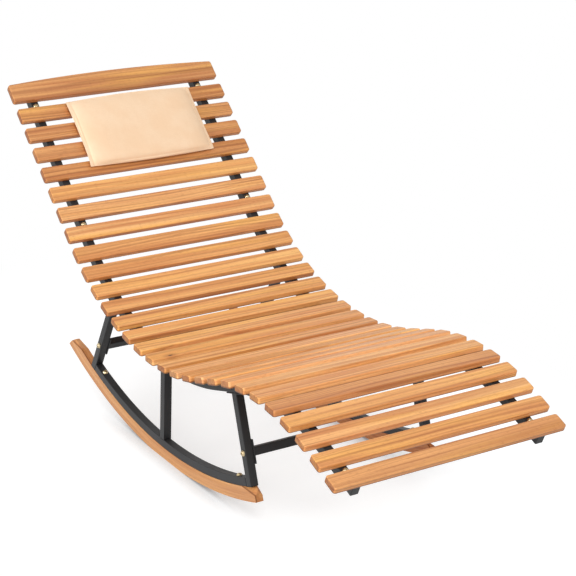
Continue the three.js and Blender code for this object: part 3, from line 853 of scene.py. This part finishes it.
def puff(piece):
    # cloth under pressure, held along the seam and the flanges, then baked into the mesh
    corner = pillowSize["corner"]

    def isHeld(spot):
        nearSeam = abs(spot.z - seamHeight(spot.x / corner.x)) < 0.0006 and abs(spot.x) > corner.x - 0.004
        return nearSeam or abs(spot.y) > corner.y - pillow["flange"] or spot.z < 0.001

    held = piece.vertex_groups.new(name="seam")
    held.add([v.index for v in piece.data.vertices if isHeld(v.co)], 1.0, "REPLACE")
    cloth = piece.modifiers.new("cloth", "CLOTH")
    cloth.settings.vertex_group_mass = "seam"
    cloth.settings.use_pressure = True
    cloth.settings.uniform_pressure_force = pillow["pressure"]
    cloth.settings.effector_weights.gravity = 0
    cloth.settings.shrink_min = pillow["slack"]
    cloth.settings.quality = 6
    cloth.settings.tension_stiffness = cloth.settings.compression_stiffness = pillow["stiffness"]
    cloth.settings.bending_stiffness = pillow["bending"]
    before = [v.co.copy() for v in piece.data.vertices]
    for step in range(1, pillow["steps"] + 1):
        scene.frame_set(step)
    depsgraph = bpy.context.evaluated_depsgraph_get()
    after = [v.co.copy() for v in piece.evaluated_get(depsgraph).data.vertices]
    piece.modifiers.remove(cloth)
    scene.frame_set(1)
    for vertex, old, new in zip(piece.data.vertices, before, after):
        move = new - old
        if move.length > pillow["cap"]:
            move = move * (pillow["cap"] / move.length)
        vertex.co = old + move


def makePillow():
    piece = newPiece("headrest_cushion", meshFrom("headrest_cushion", pillowShape), canvas)
    puff(piece)
    corner = pillowSize["corner"]
    for spot in [vertex.co for vertex in piece.data.vertices]:
        # the hem is drawn in along the foot side, inside the two flanges
        toFoot = corner.x + pillowSize["footBow"] * (1 - (spot.y / corner.y) ** 2) - spot.x
        if spot.z > seamHeight(spot.x / corner.x) and abs(spot.y) < corner.y - pillow["flange"]:
            spot.z -= pillow["hemDepth"] * math.exp(-((toFoot - pillow["hemAt"]) / pillow["hemHalf"]) ** 2)
        spot.z = max(spot.z, 0.0)
    piece.data.transform(pillowTurn)
    piece.data.update()
    for polygon in piece.data.polygons:
        polygon.use_smooth = True
    finer = piece.modifiers.new("finer", "SUBSURF")
    finer.levels = finer.render_levels = 1
    return piece


pillowTurn = pillowPlace()
canvas = makeCloth()
pillowSize = measurePillow(cadNodes["headrest_pillow"].data, pillowTurn)
cushion = makePillow()
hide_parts("headrest_pillow")
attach(cushion, "pillow")
print("pillow done")


# lines of stitches along the pillow's short sides

stitch = {
    "length": 0.0030, "width": 0.0007, "height": 0.0005, "pitch": 0.0042, "rowsAt": (0.0078, 0.0098),
    "endRoom": 0.004, "lift": 0.0001, "castFrom": 0.08, "tone": paint(226, 192, 152),
}


def stitchShape(shape):
    bmesh.ops.create_uvsphere(shape, u_segments=10, v_segments=6, radius=0.5)
    bmesh.ops.scale(shape, verts=shape.verts, vec=(stitch["length"], stitch["width"], stitch["height"]))


def stitchPlaces():
    # stitches lie on the upper skin, each along its row
    shape = bmesh.new()
    shape.from_mesh(cushion.data)
    skin = BVHTree.FromBMesh(shape)
    shape.free()
    out = pillowTurn.to_3x3().col[2]
    corner = pillowSize["corner"]
    places = []
    count = int(2 * (corner.x - stitch["endRoom"]) / stitch["pitch"])
    for side in (-1, 1):
        for inset in stitch["rowsAt"]:
            for step in range(count + 1):
                x = -corner.x + stitch["endRoom"] + step * stitch["pitch"]
                drawn = pillowSize["drawIn"] * (1 - (x / corner.x) ** 2)
                above = pillowTurn @ Vector((x, side * (corner.y - drawn - inset), stitch["castFrom"]))
                spot, normal = skin.ray_cast(above, -out)[:2]
                if spot:
                    across = pillowTurn.to_3x3().col[1]
                    across = (across - normal * across.dot(normal)).normalized()
                    places.append(axesTo(normal, across, spot + normal * stitch["lift"]))
    return places


thread = newMaterial("sand_thread", Base_Color=stitch["tone"], Roughness=0.6, Specular_IOR_Level=0.3)[0]
stitchTemplate = newPiece("stitch_template", meshFrom("stitch_template", stitchShape))
stitches = runTree("headrest_stitches", pointCloud("stitch_points", stitchPlaces()),
                   scatterTree("stitch_rows", stitchTemplate, thread), {"Size": 1.0}, thread)
bpy.data.objects.remove(stitchTemplate)
smooth(stitches, 60)
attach(stitches, "pillow")
print("stitches done")


# webbing straps that hold the pillow

strap = {
    "gap": 0.0003, "thickness": 0.0012, "width": 0.025, "corner": 0.0028,
    "lapStart": -0.012, "lap": 0.026, "lapBackShare": 0.35, "lapGap": 0.0002, "lapSteps": 12,
    "ribPitch": 0.0016, "tone": paint(38, 38, 38), "ribTone": paint(62, 62, 61),
}


def makeWebbing():
    material, tree, shader = newMaterial("charcoal_webbing", Roughness=0.8, Specular_IOR_Level=0.3)
    point = put(tree, "TexCoord").outputs["Object"]
    axes = put(tree, "SeparateXYZ", {0: point}).outputs
    ribs = calc(tree, "SINE", calc(tree, "MULTIPLY", axes[1], 2 * math.pi / strap["ribPitch"]))
    colour = blendColours(tree, ease(tree, ribs, -0.6, 0.8), strap["tone"], strap["ribTone"])
    tree.links.new(colour, shader.inputs["Base Color"])
    bumped(tree, shader, ribs, 0.5, 0.0003)
    return material


def strapShape(shape):
    # a band wound once round the slat, its end lapped over its start on the underside
    half = slatHalf["slat_04"]
    gap, thick, corner = strap["gap"], strap["thickness"], strap["corner"]
    reachX, reachZ = half.x + gap, half.z + gap
    path = [Vector((strap["lapStart"], 0, -reachZ))]
    for signX, signZ, first in ((1, -1, -90), (1, 1, 0), (-1, 1, 90), (-1, -1, 180)):
        centre = Vector((signX * (reachX - corner), 0, signZ * (reachZ - corner)))
        for step in range(7):
            angle = math.radians(first + 15 * step)
            path.append(centre + corner * Vector((math.cos(angle), 0, math.sin(angle))))
    for step in range(strap["lapSteps"] + 1):
        ahead = strap["lapStart"] + strap["lap"] * (step / strap["lapSteps"] - strap["lapBackShare"])
        path.append(Vector((ahead, 0, -reachZ - (thick + strap["lapGap"]) * min(1, step / 3))))
    halfAcross = Vector((0, strap["width"] / 2, 0))
    loops = []
    for index, point in enumerate(path):
        before, after = path[max(index - 1, 0)], path[min(index + 1, len(path) - 1)]
        way = (after - before).normalized()
        out = Vector((way.z, 0, -way.x))
        outer = point + out * thick
        corners = (point - halfAcross, point + halfAcross, outer + halfAcross, outer - halfAcross)
        loops.append([shape.verts.new(spot) for spot in corners])
    for first, second in zip(loops, loops[1:]):
        for side in range(4):
            after = (side + 1) % 4
            shape.faces.new((first[side], first[after], second[after], second[side]))
    shape.faces.new(loops[0][::-1])
    shape.faces.new(loops[-1])
    bmesh.ops.recalc_face_normals(shape, faces=shape.faces)


webbing = makeWebbing()
for sideName in sideNames:
    node = cadNodes["pillow_strap_" + sideName]
    turn = slatPlaces["slat_04"].copy()
    turn.translation.y = middleOf(node).y
    mesh = meshFrom("webbing_strap_" + sideName, strapShape)
    mesh.transform(turn)
    piece = newPiece("webbing_strap_" + sideName, mesh, webbing)
    smooth(piece, 40)
    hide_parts(node.name)
    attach(piece, "lounge")
print("straps done")
